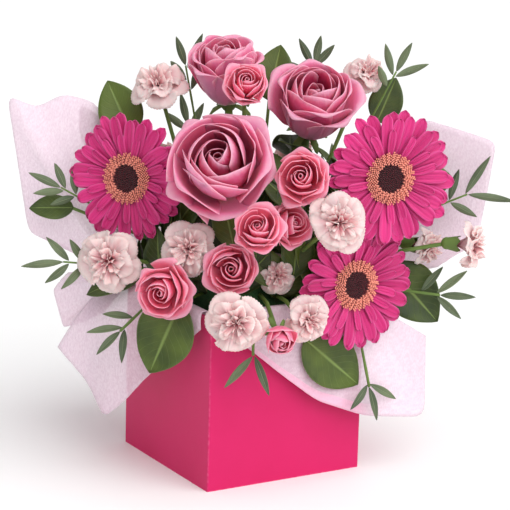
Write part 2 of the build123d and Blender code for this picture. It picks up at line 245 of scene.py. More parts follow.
# %% Hot pink card
WALL_OUT = 70 * MM  # from the carton's middle to a wall's outer face


def card_finish():
    made = Finish("carton_card", Specular_IOR_Level=0.35)
    spot = made.node("ShaderNodeSeparateXYZ", inputs={0: made.place()})
    x, y, z = (Field(made, spot.socket.node.outputs[i]) for i in range(3))
    near, crease = WALL_OUT - 1.5 * MM, WALL_OUT - 0.1 * MM
    side = abs(x).between(near, crease) * abs(y).between(near, crease)
    foot = z.between(1.2 * MM, 0.0)
    worn = (side + foot) * made.noise(260.0, 4.0).between(0.35, 0.7)
    mottle = made.noise(35.0, 5.0)
    pulp = made.noise(2600.0, 2.0)
    colour = made.blend(mottle, tone(200, 8, 88), tone(210, 16, 98))
    colour = made.blend(worn * 0.35, colour, tone(250, 150, 190))
    return made.drive(colour, 0.42 + pulp * 0.16, bump=pulp, height=0.04 * MM)


card = card_finish()


# %% Pale pink tissue
def tissue_finish():
    made = Finish("tissue_paper", Roughness=0.85, Sheen_Weight=0.3)
    here = made.place()
    level = made.noise(1300.0, 3.0, (1.0, 0.12, 0.35), here)
    upright = made.noise(1100.0, 3.0, (0.12, 0.9, 0.3), here)
    clouds = made.noise(26.0, 3.0)
    fibres = (level + upright).between(0.7, 1.3)
    colour = made.blend(fibres, tone(243, 216, 232), tone(249, 230, 241))
    colour = made.blend(clouds.between(0.35, 0.8) * 0.25, colour, tone(232, 204, 226))
    u, v = made.across_along()
    hem = v.between(0.925, 0.935) * u.between(0.68, 0.60) * made.tint()
    colour = made.blend(hem * 0.8, colour, tone(250, 190, 216))
    solid = 0.57 + fibres * 0.08 + hem * 0.22
    return made.drive(colour, alpha=solid, bump=fibres + hem * 2.0, height=0.05 * MM)


tissue = tissue_finish()


# %% Clear liner and green foam
def liner_finish():
    made = Finish("liner_plastic", IOR=1.49, Coat_Weight=0.3)
    smear = made.noise(60.0, 4.0)
    return made.drive(made.blend(smear, tone(196, 204, 202), tone(224, 230, 228)), 0.12 + smear * 0.2)


def foam_finish():
    made = Finish("floral_foam", Roughness=0.95)
    pores = made.node("ShaderNodeTexVoronoi", inputs={"Vector": made.place(), "Scale": 900.0})
    grain = made.noise(300.0, 5.0)
    colour = made.blend(grain, tone(30, 74, 40), tone(62, 108, 60))
    # The pits of the pores are painted darker: painted shade where the bump sinks.
    colour = made.blend(pores.between(0.0, 0.45), tone(18, 48, 26), colour)
    return made.drive(colour, bump=pores, height=0.4 * MM)


liner, foam = liner_finish(), foam_finish()

# %% [markdown]
# ## Petals and leaves
# A petal's colour runs along it: the UV map's v is 0 at its foot and 1 at its rim, and u runs across it.
# Each petal also has a tint of its own. Fine veins along it come from noise stretched over the UV map.


# %% Petals of the roses and carnations
def petal_finish(name, foot, body_low, body_high, rim, rim_start, veins=(16.0, 0.9), gleam=0.42):
    """Foot colour to body colour to rim colour along v. Body colours are picked by each petal's tint."""
    made = Finish(
        name, Subsurface_Weight=0.45, Subsurface_Scale=0.005, Subsurface_Radius=(1.0, 0.4, 0.4),
        Sheen_Weight=0.12, Sheen_Roughness=0.4, Specular_IOR_Level=0.35,
    )
    u, v = made.across_along()
    flat = made.node("ShaderNodeCombineXYZ", inputs={0: u, 1: v, 2: made.tint() * 7.0})
    streak = made.noise(veins[0], 3.0, (1.0, 0.12, 1.0), flat)
    cloud = made.noise(150.0, 3.0)
    body = made.blend((made.tint() * 0.9 + cloud * 0.25).between(0.15, 0.95), body_low, body_high)
    colour = made.blend((v + cloud * 0.16).between(0.10, 0.42), foot, body)
    colour = made.blend((v + streak * 0.12).between(rim_start, 1.06), colour, rim)
    colour = made.blend(streak.between(0.55, 0.9) * 0.22, colour, foot)
    return made.drive(colour, gleam + streak * 0.2, bump=streak, height=0.25 * MM * veins[1])


rose_petal = petal_finish(
    "rose_petal", foot=tone(236, 190, 166), body_low=tone(214, 50, 108),
    body_high=tone(238, 126, 166), rim=tone(247, 162, 186), rim_start=0.86)
spray_rose_petal = petal_finish(
    "spray_rose_petal", foot=tone(244, 92, 122), body_low=tone(242, 66, 114),
    body_high=tone(252, 128, 156), rim=tone(254, 158, 180), rim_start=0.82)
carnation_petal = petal_finish(
    "carnation_petal", foot=tone(196, 78, 94), body_low=tone(208, 108, 122),
    body_high=tone(238, 188, 190), rim=tone(248, 212, 208), rim_start=0.74, veins=(20.0, 1.2), gleam=0.5)


# %% Gerbera petals, florets and eye
def ray_finish():
    made = Finish(
        "gerbera_petal", Subsurface_Weight=0.12, Subsurface_Scale=0.002, Subsurface_Radius=(1.0, 0.2, 0.4),
        Sheen_Weight=0.15, Specular_IOR_Level=0.4,
    )
    u, v = made.across_along()
    flat = made.node("ShaderNodeCombineXYZ", inputs={0: u, 1: v, 2: made.tint() * 9.0})
    ribs = made.noise(26.0, 2.0, (1.0, 0.04, 1.0), flat)
    side = abs(u - 0.5).between(0.30, 0.5)
    body = made.blend(made.tint(), tone(196, 22, 108), tone(224, 44, 130))
    colour = made.blend((1 - v).between(0.62, 1.0), body, tone(150, 10, 78))
    colour = made.blend(ribs.between(0.45, 0.75) * 0.55, colour, tone(160, 12, 88))
    colour = made.blend(side * v * 0.5, colour, tone(240, 98, 172))
    return made.drive(colour, 0.40 + ribs * 0.15, bump=ribs, height=0.5 * MM)


def floret_finish(name, foot, tip):
    made = Finish(name, Specular_IOR_Level=0.3, Sheen_Weight=0.2)
    _, v = made.across_along()
    colour = made.blend((v + made.tint() * 0.3).between(0.35, 0.95), foot, tip)
    return made.drive(colour, 0.55 + made.noise(900.0) * 0.2)


gerbera_petal = ray_finish()
gerbera_eye = floret_finish("gerbera_eye", tone(30, 6, 12), tone(104, 26, 40))
gerbera_floret = floret_finish("gerbera_floret", tone(150, 44, 56), tone(244, 154, 134))


# %% Leaves and stems
def leaf_finish(name, dark, light, rib, veins, gleam, vein_count, coat):
    """A leaf: a paler midrib where u is a half, and side veins that leave it at a slant."""
    made = Finish(name, Specular_IOR_Level=0.45, Coat_Weight=coat, Coat_Roughness=0.25)
    u, v = made.across_along()
    aside = abs(u - 0.5) * 2
    slant = (v - aside * 0.30 + made.noise(90.0, 2.0) * 0.05) * vein_count
    slant = abs(slant - slant.math("ROUND", slant))
    fine = made.noise(700.0, 3.0)
    side_vein = slant.between(0.07, 0.0) * veins
    midrib = aside.between(0.09, 0.01)
    patch = (made.noise(45.0, 4.0) * 0.8 + made.tint() * 0.5).between(0.3, 0.95)
    colour = made.blend(patch, dark, light)
    colour = made.blend(side_vein * 0.28, colour, rib)
    colour = made.blend(midrib * 0.8, colour, rib)
    colour = made.blend(aside.between(0.93, 1.0) * 0.35, colour, rib)
    relief = fine * 0.25 - side_vein * 0.8 - midrib
    return made.drive(colour, gleam + fine * 0.15, bump=relief, height=0.3 * MM)


salal_leaf = leaf_finish(
    "salal_leaf", dark=tone(34, 52, 14), light=tone(88, 106, 34), rib=tone(126, 148, 76),
    veins=0.6, gleam=0.42, vein_count=9.0, coat=0.03)
eucalyptus_leaf = leaf_finish(
    "eucalyptus_leaf", dark=tone(70, 84, 60), light=tone(112, 126, 92), rib=tone(152, 162, 124),
    veins=0.25, gleam=0.5, vein_count=7.0, coat=0.0)


def stem_finish():
    made = Finish("stem_green", Specular_IOR_Level=0.4)
    ridges = made.noise(900.0, 3.0, (1.0, 1.0, 0.12))
    patch = made.noise(55.0, 4.0)
    colour = made.blend(patch, tone(70, 100, 38), tone(120, 146, 72))
    return made.drive(colour, 0.45 + ridges * 0.2, bump=ridges, height=0.15 * MM)


stem_green = stem_finish()

# %% [markdown]
# ## Solids that keep their own shape
# The carton, the liner, the foam and the stems are right as they are. They only change material.

# %% Dress the kept solids
kept_looks = {
    "box_walls": card, "base_panel": card, "dust_flaps": card, "liner_tray": liner, "foam_brick": foam,
}
for node, solid in frame["nodes"].items():
    stemlike = node.endswith("_stem") or node.startswith("filler_stems") or node == "salal_stalks"
    if stemlike or node in kept_looks:
        solid.data.materials.clear()
        solid.data.materials.append(stem_green if stemlike else kept_looks[node])

# %% [markdown]
# ## Where each head sits
# A head's solid is a body of revolution. Its points spread the same in every direction but one, and that
# one is the head's axis, which the eigenvectors of their covariance give.


# %% Find a head's seat, axes, radius and depth
def node_points(node):
    """A node's points without doubles, and for each of its vertices the number of its point."""
    mesh = frame["nodes"][node].data
    points = np.empty(len(mesh.vertices) * 3, np.float32)
    mesh.vertices.foreach_get("co", points)
    rounded = np.round(points.reshape(-1, 3).astype(float), 7)
    return np.unique(rounded, axis=0, return_inverse=True)


def unit(vectors):
    """Vectors, along the last axis, brought to length one."""
    return vectors / (np.linalg.norm(vectors, axis=-1, keepdims=True) + 1e-12)


HEART_OF_BUNCH = np.array([0.0, 0.0, 0.15])


def head_frame(node):
    """The middle of a head's foot, its axes as rows (right, up, out), its radius, and its depth."""
    points, _ = node_points(node)
    middle = (points.min(0) + points.max(0)) / 2
    spread, ways = np.linalg.eigh(np.cov((points - points.mean(0)).T))
    odd = 2 if spread[2] - spread[1] > spread[1] - spread[0] else 0
    out = ways[:, odd]
    out = out * np.sign(out @ (middle - HEART_OF_BUNCH))
    right = unit(np.cross([0.0, 0.0, 1.0], out))
    axes = np.stack([right, np.cross(out, right), out])
    local = points @ axes.T
    low, high = local.min(0), local.max(0)
    foot = np.array([(low[0] + high[0]) / 2, (low[1] + high[1]) / 2, low[2]])
    radius = (high[0] - low[0] + high[1] - low[1]) / 4
    return foot @ axes, axes, radius, high[2] - low[2]


def settle(grids, node):
    """Moves grids made about the Z axis at the origin onto a head's seat."""
    foot, axes, _, _ = head_frame(node)
    return [grid @ axes + foot for grid in grids]


# %% [markdown]
# ## Roses
# A rose is a spiral of cupped petals. Each petal is a piece of a bowl: from its foot it swells out to a
# belly and draws in to its rim, which is a curve of four control points turned about the axis. It gets
# wider up to its belly, its top is a pointed arch, its sides roll outward, and one side lies further
# in than the other, so that each petal tucks behind the next.


# %% Petals as pieces of a bowl
FULL_TURN = 2 * np.pi
GOLDEN_ANGLE = np.radians(137.508)


def across_and_along(rows, cols):
    """u from -1 to 1 across a piece, and v from 0 to 1 along it."""
    return np.linspace(-1, 1, cols)[None, None, :], np.linspace(0, 1, rows)[None, :, None]


def per_petal(*values):
    """One number for each petal, shaped to meet grids of u and v."""
    return (np.asarray(value, float)[:, None, None] for value in values)


def spaced_round(count, jitter, random):
    """Angles in even steps of a full turn, each off by a little."""
    return np.arange(count) * FULL_TURN / count + random.normal(0, jitter, count)


def about_z(angle, radius, height, aside=0.0):
    """Points at a radius and a height, and a step aside from that radius, turned about Z by angle."""
    cos, sin = np.cos(angle), np.sin(angle)
    x, y = radius * cos - aside * sin, radius * sin + aside * cos
    return np.stack(np.broadcast_arrays(x, y, height), -1)


def bezier(points, t):
    """The curve of four control points at t: each is weighted by its share of (1 - t + t) cubed."""
    p = [points[..., i, :][..., None, None, :] for i in range(4)]
    t = t[..., None]
    return (1 - t) ** 3 * p[0] + 3 * t * (1 - t) ** 2 * p[1] + 3 * t**2 * (1 - t) * p[2] + t**3 * p[3]


def control_lines(count, *points):
    """Four control points for each petal. Each point is a radius and a height, alone or one a petal."""
    return np.stack([[np.zeros(count) + value for value in point] for point in points]).transpose(2, 0, 1)


def bowl_petals(turn, spread, line, arch, roll, tuck, wave, point, rows, cols):
    """Petals about the Z axis. turn, spread, arch, roll, tuck, wave and point are one number for each petal.

    At v, a petal is at the radius and height of its line; at u, it is turned by spread times u. Its top falls
    by arch towards its sides, which roll out by roll; tuck leans one side in; wave ripples the rim, and
    point draws the middle of the rim out to a tip."""
    u, v = across_and_along(rows, cols)
    turn, spread, arch, roll, tuck, wave, point = per_petal(turn, spread, arch, roll, tuck, wave, point)
    along = v * (1 - arch * np.abs(u) ** 1.7)
    path = bezier(np.asarray(line, float), along)
    radius, height = path[..., 0], path[..., 1]
    width = 0.42 + 0.58 * np.sin(np.clip(v / 0.5, 0, 1) * np.pi / 2)
    angle = turn + spread * width * u
    ripple = wave * v**3 * np.sin(5.3 * u + 9 * turn)
    radius = radius * (1 + tuck * u) + roll * np.abs(u) ** 3 * v**2 + ripple
    radius = radius + point * np.exp(-((u / 0.22) ** 2)) * v**10
    height = height - roll * 0.6 * np.abs(u) ** 3 * v**3 + 0.5 * ripple
    return about_z(angle, radius, height)


# %% Layers of a rose, from its heart outwards
ROSE_LAYERS = np.array([
    # petals, rim radius, rim height, belly radius, half spread, arch, side roll, rim curl, tuck
    (2, 0.05, 0.88, 0.12, 2.00, 0.12, 0.000, 0.0, 0.20),
    (3, 0.14, 0.95, 0.24, 1.45, 0.18, 0.020, 0.0, 0.24),
    (3, 0.26, 1.00, 0.38, 1.30, 0.20, 0.035, 0.1, 0.20),
    (4, 0.42, 0.99, 0.52, 1.15, 0.22, 0.060, 0.3, 0.15),
    (4, 0.63, 0.92, 0.66, 1.00, 0.26, 0.100, 0.8, 0.10),
    (4, 0.90, 0.72, 0.80, 0.95, 0.30, 0.140, 1.5, 0.07),
    (5, 1.08, 0.46, 0.84, 0.84, 0.30, 0.140, 1.4, 0.05),
])
PETALS, RIM_RADIUS, RIM_HEIGHT, BELLY_RADIUS, RIM_CURL = 0, 1, 2, 3, 7  # columns that others change


def rose_grids(radius, depth, seed, layers, rows, cols):
    """All petals of a rose about the Z axis, one grid stack for each layer, and their tints."""
    random = np.random.default_rng(seed)
    grids, tints, turn = [], [], random.uniform(0, 6)
    for count, rim, top, belly, spread, arch, roll, curl, tuck in layers:
        count = int(count)
        turns = turn + spaced_round(count, 0.22, random)
        turn += 2.4
        rims = radius * rim * random.normal(1, 0.06 + 0.03 * rim, count)
        tops = depth * top * random.normal(1, 0.04, count)
        bellies = radius * belly * random.normal(1, 0.03, count)
        line = control_lines(
            count, (0.10 * radius, 0.05 * depth), (bellies * 1.15, 0.16 * depth),
            (bellies * (1.32 - 0.30 * curl), tops * (0.84 + 0.22 * curl)), (rims, tops))
        same = np.ones(count)
        side_roll = roll * radius * random.uniform(0.4, 1.4, count)
        ripple = 0.02 * radius * random.uniform(0.3, 1.0, count) * (0.4 + curl)
        tip = 0.085 * radius * curl * random.uniform(0.2, 1.0, count)
        grids.append(bowl_petals(
            turns, spread * same, line, arch * same, side_roll, tuck * same, ripple, tip, rows, cols))
        tints.append(np.clip(rim * 0.75 + random.uniform(-0.1, 0.3, count), 0, 1))
    return grids, tints


def make_rose(node, seed, look, slot, thickness, **detail):
    """detail says the layers, and the rows and columns of each petal's grid."""
    _, _, radius, depth = head_frame(node)
    grids, tints = rose_grids(radius, depth, seed, **detail)
    flower = thicken(skin(node + "_petals", settle(grids, node), tints), thickness)
    return finish_piece(flower, look, body_of_node[node], slot, node)


# The two roses behind are less open: their outer petals stand up in a goblet.
GOBLET_LAYERS = ROSE_LAYERS.copy()
GOBLET_LAYERS[4:, RIM_HEIGHT] = (0.97, 0.90, 0.78)
GOBLET_LAYERS[5:, RIM_RADIUS] = (0.84, 1.04)
GOBLET_LAYERS[5:, BELLY_RADIUS] = (0.74, 0.80)
for seed, (node, layers) in enumerate((
        ("rose_front", ROSE_LAYERS), ("rose_high", GOBLET_LAYERS), ("rose_right", GOBLET_LAYERS))):
    made = make_rose(node, 20 + seed, rose_petal, "rose_petal", 0.35 * MM, layers=layers, rows=22, cols=26)
    print(made.name, len(made.data.polygons), "faces before thickness")

# %% [markdown]
# ## Spray roses
# These are the same flower at half the size, with fewer layers. The bud is tighter still: four layers
# whose rims hardly curl.


# %% Small roses
def nodes_named(start):
    """The nodes whose names begin so, in order, without stems, stalks and eyes."""
    names = sorted(name for name in frame["nodes"] if name.startswith(start))
    return [name for name in names if not name.endswith(("_stem", "_stalks", "_eye"))]


SPRAY_LAYERS = ROSE_LAYERS[[0, 1, 2, 4, 5, 6]]
SPRAY_LAYERS[:, PETALS] = (2, 3, 3, 3, 4, 5)
SPRAY_LAYERS[:, RIM_RADIUS] = (0.07, 0.19, 0.36, 0.58, 0.84, 1.08)
BUD_LAYERS = ROSE_LAYERS[[1, 3, 5, 5]]
BUD_LAYERS[:, RIM_CURL] *= 0.4
BUD_LAYERS[:, BELLY_RADIUS] = (0.3, 0.55, 0.8, 0.95)
BUD_LAYERS[:, RIM_RADIUS] = (0.12, 0.32, 0.55, 0.75)
spray_names = nodes_named("spray_rose")
for seed, node in enumerate(spray_names):
    layers = BUD_LAYERS if node.endswith("bud") else SPRAY_LAYERS
    make_rose(
        node, 60 + seed, spray_rose_petal, "spray_rose_petal", 0.3 * MM, layers=layers, rows=14, cols=18)
print(len(spray_names), "spray roses")

# %% [markdown]
# ## Carnations
# A carnation petal is a fan. It stands up out of its calyx, turns over and spreads, and because its rim
# is longer than the fan has room for, it buckles into waves that grow towards a toothed edge.


# %% Fans with buckled, toothed rims
def fan_petals(turn, spread, line, buckle, folds, phase, teeth, rows, cols):
    """Petals about the Z axis, like bowl_petals, whose height and radius swing in waves that grow
    with v squared. A saw of teeth round the rim takes a little off its length."""
    u, v = across_and_along(rows, cols)
    turn, spread, buckle, folds, phase = per_petal(turn, spread, buckle, folds, phase)
    saw = np.abs(((u * teeth / 2) % 1.0) - 0.5) * 2
    along = v * (1 - 0.13 * np.abs(u) ** 2.5 - 0.028 * v**8 * saw)
    path = bezier(np.asarray(line, float), along)
    swing = np.sin(folds * u + phase) + 0.45 * np.sin(2.3 * folds * u + 1.7 * phase)
    fine = np.sin(5.1 * folds * u + 2.9 * phase)
    height = path[..., 1] + buckle * v**2 * swing + 0.14 * buckle * v**4 * fine
    radius = path[..., 0] + 0.5 * buckle * v**2 * np.cos(folds * u + 2 * phase)
    return about_z(turn + spread * u * (0.75 + 0.25 * v), radius, height)


# %% Rings of fans
CARNATION_RINGS = np.array([
    # petals, rim radius, rim height, shoulder radius, shoulder height, half spread, buckle, folds
    (4, 0.18, 0.96, 0.03, 0.80, 0.80, 0.10, 4.8),
    (4, 0.40, 1.00, 0.10, 0.92, 0.80, 0.14, 4.4),
    (5, 0.64, 0.96, 0.26, 1.02, 0.70, 0.15, 4.0),
    (5, 0.88, 0.78, 0.46, 1.05, 0.70, 0.13, 3.4),
    (5, 1.04, 0.50, 0.66, 0.90, 0.70, 0.11, 2.8),
])
RIM_TEETH = 13


def make_carnation(node, seed):
    _, _, radius, depth = head_frame(node)
    random = np.random.default_rng(seed)
    grids, tints, turn = [], [], random.uniform(0, 6)
    for count, rim, top, shoulder, crown, spread, buckle, folds in CARNATION_RINGS:
        count = int(count)
        turn += 0.9
        crowns = crown * depth * random.normal(1, 0.04, count)
        rims = rim * radius * random.normal(1, 0.06, count)
        tops = top * depth * random.normal(1, 0.06, count)
        line = control_lines(
            count, (1.2 * MM, 0.22 * depth), (shoulder * radius * 0.4, 0.7 * depth),
            (shoulder * radius, crowns), (rims, tops))
        turns = turn + spaced_round(count, 0.12, random)
        buckles = buckle * radius * random.uniform(0.6, 1.3, count)
        waves = folds * random.uniform(0.8, 1.2, count)
        phases = random.uniform(0, 6.28, count)
        spreads = np.full(count, spread)
        grids.append(fan_petals(turns, spreads, line, buckles, waves, phases, RIM_TEETH, rows=15, cols=38))
        tints.append(np.clip(rim * 0.8 + random.uniform(-0.1, 0.3, count), 0, 1))
    flower = thicken(skin(node + "_petals", settle(grids, node), tints), 0.35 * MM)
    return finish_piece(flower, carnation_petal, body_of_node[node], "carnation_petal", node)


carnation_names = nodes_named("carnation")
for seed, node in enumerate(carnation_names):
    made = make_carnation(node, 100 + seed)
print(len(carnation_names), "carnations of", len(made.data.polygons), "faces before thickness")

# %% [markdown]
# ## Gerberas
# Three rows of long ray petals lie nearly flat round a disc of florets. A ray petal is narrow at its
# foot, round at its tip, grooved along its length, and its sides lift a little.
# The florets stand on a sunflower spiral: number i is at 137.5 degrees times i and at the root of i.


# %% Ray petals
def ray_petals(turn, foot, reach, width, lift, droop, rows=20, cols=11):
    """Petals along X turned about Z: the width follows a rounded tip, and the height is lift times the
    sine of v's quarter turn, less droop times v cubed, with raised sides and grooves along it."""
    u, v = across_and_along(rows, cols)
    turn, reach, width, lift, droop = per_petal(turn, reach, width, lift, droop)
    tip = np.clip((v - 0.76) / 0.24, 0, 1)
    swell = 0.34 + 0.66 * np.sin(np.clip(v / 0.55, 0, 1) * np.pi / 2)
    half = width / 2 * swell * np.sqrt(1.004 - tip**2.2)
    notch = 1.1 * MM * np.exp(-((u / 0.28) ** 2)) * v**14
    outward = foot[0] + (reach - foot[0]) * v - notch
    groove = 0.60 * MM * np.cos(3 * np.pi * u) * np.sin(np.pi * np.clip(v, 0.02, 1)) ** 0.5
    sides = 1.5 * MM * u**2 * (1 - v * 0.4)
    height = foot[1] + lift * np.sin(v * np.pi / 2) - droop * v**3 + sides + groove
    return about_z(turn + 0.05 * np.sin(7 * turn) * v**2, outward, height, aside=half * u)


# %% Florets on a sunflower spiral
def floret_grids(first, last, spacing, base, girth, length, lean, flare, sides=6):
    """Small six-sided spikes: number i stands at the root of i times spacing, turned by i golden angles,
    and leans out with its distance."""
    number = np.arange(first, last)
    distance = spacing * np.sqrt(number)
    rings = np.array([(0.0, 0.0), (0.9, 0.02), (1.0, 0.45), (flare, 0.86), (0.55 * flare, 1.0), (0.0, 0.92)])
    around = np.arange(sides) * FULL_TURN / sides
    share = (distance / distance.max())[:, None, None]
    tall = length * (0.85 + 0.3 * np.sin(number * 12.9898))[:, None, None]
    side = girth * rings[None, :, 0, None]
    up = tall * rings[None, :, 1, None]
    outward = distance[:, None, None] + side * np.cos(around) + up * lean * share
    height = base(distance)[:, None, None] + up
    angle = (number * GOLDEN_ANGLE)[:, None, None]
    return about_z(angle, outward, height, aside=side * np.sin(around))


def disc_height(distance):
    """The disc under the florets: a low dome with a dip in its middle."""
    dip = 1.0 * MM * np.exp(-((distance / (4 * MM)) ** 2))
    return 9.2 * MM - 2.6 * MM * (distance / (20 * MM)) ** 2 - dip


def dome_grid(radius, under, sides=40):
    """A closed cushion: up its dome from the rim, and back under it at a fixed height."""
    share = np.array([0.0, 0.35, 0.6, 0.8, 0.92, 1.0, 1.0, 0.0])
    height = np.concatenate([disc_height(share[:6] * radius), [under, under]])
    around = np.arange(sides) * FULL_TURN / sides
    return about_z(around, radius * share[:, None], height[:, None])[None]


RAY_ROWS = (
    # petals, share of the radius, width, foot's radius and height, lift, droop; sizes in millimetres
    (23, 1.00, 11.2, (13, 4.0), 5.6, 2.0),
    (22, 0.93, 10.0, (14, 5.4), 6.2, 0.8),
    (14, 0.70, 6.4, (15, 7.0), 5.2, 0.2),
)
EYE_FLORETS, RING_START, RING_END, FLORET_SPACING = 170, 172, 560, 0.80 * MM


def make_gerbera(node, seed):
    _, _, radius, _ = head_frame(node)
    random = np.random.default_rng(seed)
    body = body_of_node[node]
    grids, tints = [], []
    for count, share, width, foot, lift, droop in RAY_ROWS:
        turns = spaced_round(count, 0.045, random) + random.uniform(0, 6)
        grids.append(ray_petals(
            turns, np.array(foot) * MM, radius * share * random.normal(0.985, 0.028, count),
            width * MM * random.normal(1, 0.07, count), lift * MM * random.normal(1, 0.12, count),
            (droop + random.normal(0, 1.2, count)) * MM))
        tints.append(random.uniform(0, 1, count))
    rays = thicken(skin(node + "_petals", settle(grids, node), tints), 0.45 * MM)
    finish_piece(rays, gerbera_petal, body, "gerbera_petal", node)
    eye = [
        dome_grid(19 * MM, 6.0 * MM),
        floret_grids(1, EYE_FLORETS, FLORET_SPACING, disc_height, 0.50 * MM, 1.9 * MM, 0.2, 0.9),
    ]
    shades = [np.zeros(1), random.uniform(0, 1, EYE_FLORETS - 1)]
    centre = skin(node + "_eye_disc", settle(eye, node), shades, closed_round=True, weld=True)
    finish_piece(centre, gerbera_eye, body, "gerbera_eye", node + "_eye")
    ring = [floret_grids(
        RING_START, RING_END, FLORET_SPACING, disc_height, 0.62 * MM, 3.2 * MM, 0.55, 1.25)]
    shades = [random.uniform(0, 1, RING_END - RING_START)]
    florets = skin(node + "_florets", settle(ring, node), shades, closed_round=True, weld=True)
    finish_piece(florets, gerbera_floret, body, "gerbera_eye")
    return rays


for seed, node in enumerate(("gerbera_left", "gerbera_right", "gerbera_front")):
    made = make_gerbera(node, 40 + seed)
    print(made.name, len(made.data.polygons), "faces before thickness")

# %% [markdown]
# ## What holds the petals
# Under each rose are five pointed sepals, under each gerbera two rows of small bracts, and each
# carnation stands in a green tube with five teeth. They show from the sides and behind.


# %% Sepals, bracts and tubes
def pointed_blades(count, turn, spread, line, random):
    """Narrow blades drawn with the same bowl as petals: a strong arch makes their tops pointed."""
    same, none = np.ones(count), np.zeros(count)
    lines = np.array(line, float)[None] * random.normal(1, 0.05, (count, 1, 1)) * MM
    turns = turn + spaced_round(count, 0.06, random)
    return bowl_petals(
        turns, spread * same, lines, 0.75 * same, none, none, 0.3 * MM * same, none, rows=9, cols=7)


def tube_with_teeth(depth, sides=30):
    """A cup about Z: radius grows up it, and its rim rises and falls five times round."""
    v = np.linspace(0, 1, 8)[:, None]
    around = np.arange(sides)[None, :] * FULL_TURN / sides
    teeth = np.abs(((around * 5 / FULL_TURN) % 1.0) - 0.5) * 2
    radius = (4.2 + 2.0 * v) * MM
    height = -1.2 * MM + v * (0.34 * depth + 3.0 * MM * teeth * v)
    return about_z(around, radius, height)[None]


BIG_ROSE = 25 * MM  # the radius above which a rose has full-sized sepals


def make_green_foot(node, seed):
    _, _, radius, depth = head_frame(node)
    random = np.random.default_rng(seed)
    if node.startswith("carnation"):
        grids, closed_round = [tube_with_teeth(depth)], True
    elif node.startswith("gerbera"):
        grids, closed_round = [
            pointed_blades(17, 0.0, 0.20, ((6.0, -1.0), (11, 0.0), (17, 1.6), (23, 3.2)), random),
            pointed_blades(15, 0.2, 0.22, ((6.0, -1.6), (10, -1.0), (14, 0.6), (18, 1.4)), random),
        ], False
    else:
        size = 1.0 if radius > BIG_ROSE else 0.62
        line = np.array(((4.5, -0.5), (9, 1.0), (15, -2.5), (18, -9.0))) * size
        grids, closed_round = [pointed_blades(5, random.uniform(0, 6), 0.34, line, random)], False
    made = thicken(skin(node + "_calyx", settle(grids, node), closed_round=closed_round), 0.5 * MM)
    return finish_piece(made, stem_green, body_of_node[node], "stem_green")


all_heads = nodes_named(("gerbera", "rose", "spray_rose", "carnation"))
for seed, node in enumerate(all_heads):
    make_green_foot(node, 600 + seed)
print(len(all_heads), "green feet")

# %% [markdown]
# ## Leaves
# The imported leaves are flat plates, several to a node. Their loose parts are told apart by passing the
# lowest point number round each one, and each plate's own axes say where its foot, tip and face are.


# %% Tell loose parts of a node apart
def loose_parts(node):
    """The points of each separate solid in a node."""
    mesh = frame["nodes"][node].data
    points, index = node_points(node)
    mesh.calc_loop_triangles()
    corners = np.empty(len(mesh.loop_triangles) * 3, np.int32)
    mesh.loop_triangles.foreach_get("vertices", corners)
    corners = index.ravel()[corners].reshape(-1, 3)
    label = np.arange(len(points))
    while True:
        lowest = label[corners].min(1)
        spread = label.copy()
        for side in range(3):
            np.minimum.at(spread, corners[:, side], lowest)
        spread = spread[spread]
        if (spread == label).all():
            break
        label = spread
    return [points[label == value] for value in np.unique(label)]


def plate_frame(points, near):
    """A leaf plate's foot, tip, width and face direction. Its foot is the end nearer to the points
    in near."""
    middle = (points.min(0) + points.max(0)) / 2
    _, ways = np.linalg.eigh(np.cov((points - points.mean(0)).T))
    run = (points - middle) @ ways[:, 2]
    ends = middle + ways[:, 2] * run.min(), middle + ways[:, 2] * run.max()
    gap = [np.linalg.norm(near - end, axis=1).min() for end in ends]
    foot, tip = ends if gap[0] < gap[1] else ends[::-1]
    aside = (points - middle) @ ways[:, 1]
    face = ways[:, 0] * np.sign(ways[:, 0] @ (middle - HEART_OF_BUNCH))
    return foot, tip, aside.max() - aside.min(), face


# %% Blades
def blade_grids(plates, profile, fold, arch, wave, random, rows=22, cols=11):
    """Leaf blades from foot to tip. profile gives half width along v. The sides lift by fold times their
    distance from the midrib, the tip bends back by arch times v squared, and the sides ripple by wave."""
    u, v = across_and_along(rows, cols)
    foot, tip, width, face = (np.array(column, float) for column in zip(*plates))
    run = tip - foot
    face = unit(face - run * ((face * run).sum(1) / (run * run).sum(1))[:, None])
    length = np.linalg.norm(run, axis=1)[:, None, None]
    side = np.cross(face, run / length[:, :, 0])
    half = width[:, None, None] / 2 * profile(v) + 0.0002
    shift = random.uniform(0, 6, len(plates))[:, None, None]
    aside = half * u
    ripple = wave * width[:, None, None] * np.abs(u) ** 2 * np.sin(9 * v + shift)
    lift = fold * np.abs(aside) - arch * length * (v - 0.35) ** 2 + ripple
    aside = aside * np.sqrt(1 - (fold * 0.6) ** 2)
    spine = foot[:, None, None, :] + run[:, None, None, :] * v[..., None]
    return spine + side[:, None, None, :] * aside[..., None] + face[:, None, None, :] * lift[..., None]


def broad_leaf(v):
    """Half width along a salal leaf: widest below its middle, round at the foot, with a drawn-out tip."""
    return 1.06 * np.sin(np.pi * v**0.82) ** 0.72 * (1 - 0.25 * np.clip((v - 0.78) / 0.22, 0, 1) ** 2)


def narrow_leaf(v):
    """Half width along a willow-like leaf."""
    return np.sin(np.pi * v**0.9) ** 0.85


REACH_BACK = 0.05  # the share of its length by which a blade reaches back to its stalk


def make_salal(node, seed):
    random = np.random.default_rng(seed)
    plates = [plate_frame(part, HEART_OF_BUNCH[None]) for part in loose_parts(node)]
    plates = [(foot - (tip - foot) * REACH_BACK, tip, width, face) for foot, tip, width, face in plates]
    grid = blade_grids(plates, broad_leaf, 0.16, 0.05, 0.025, random)
    leaves = thicken(skin(node + "_blades", [grid], [random.uniform(0, 1, len(plates))]), 0.4 * MM)
    finish_piece(leaves, salal_leaf, body_of_node[node], "salal_leaf", node)
    return len(plates)


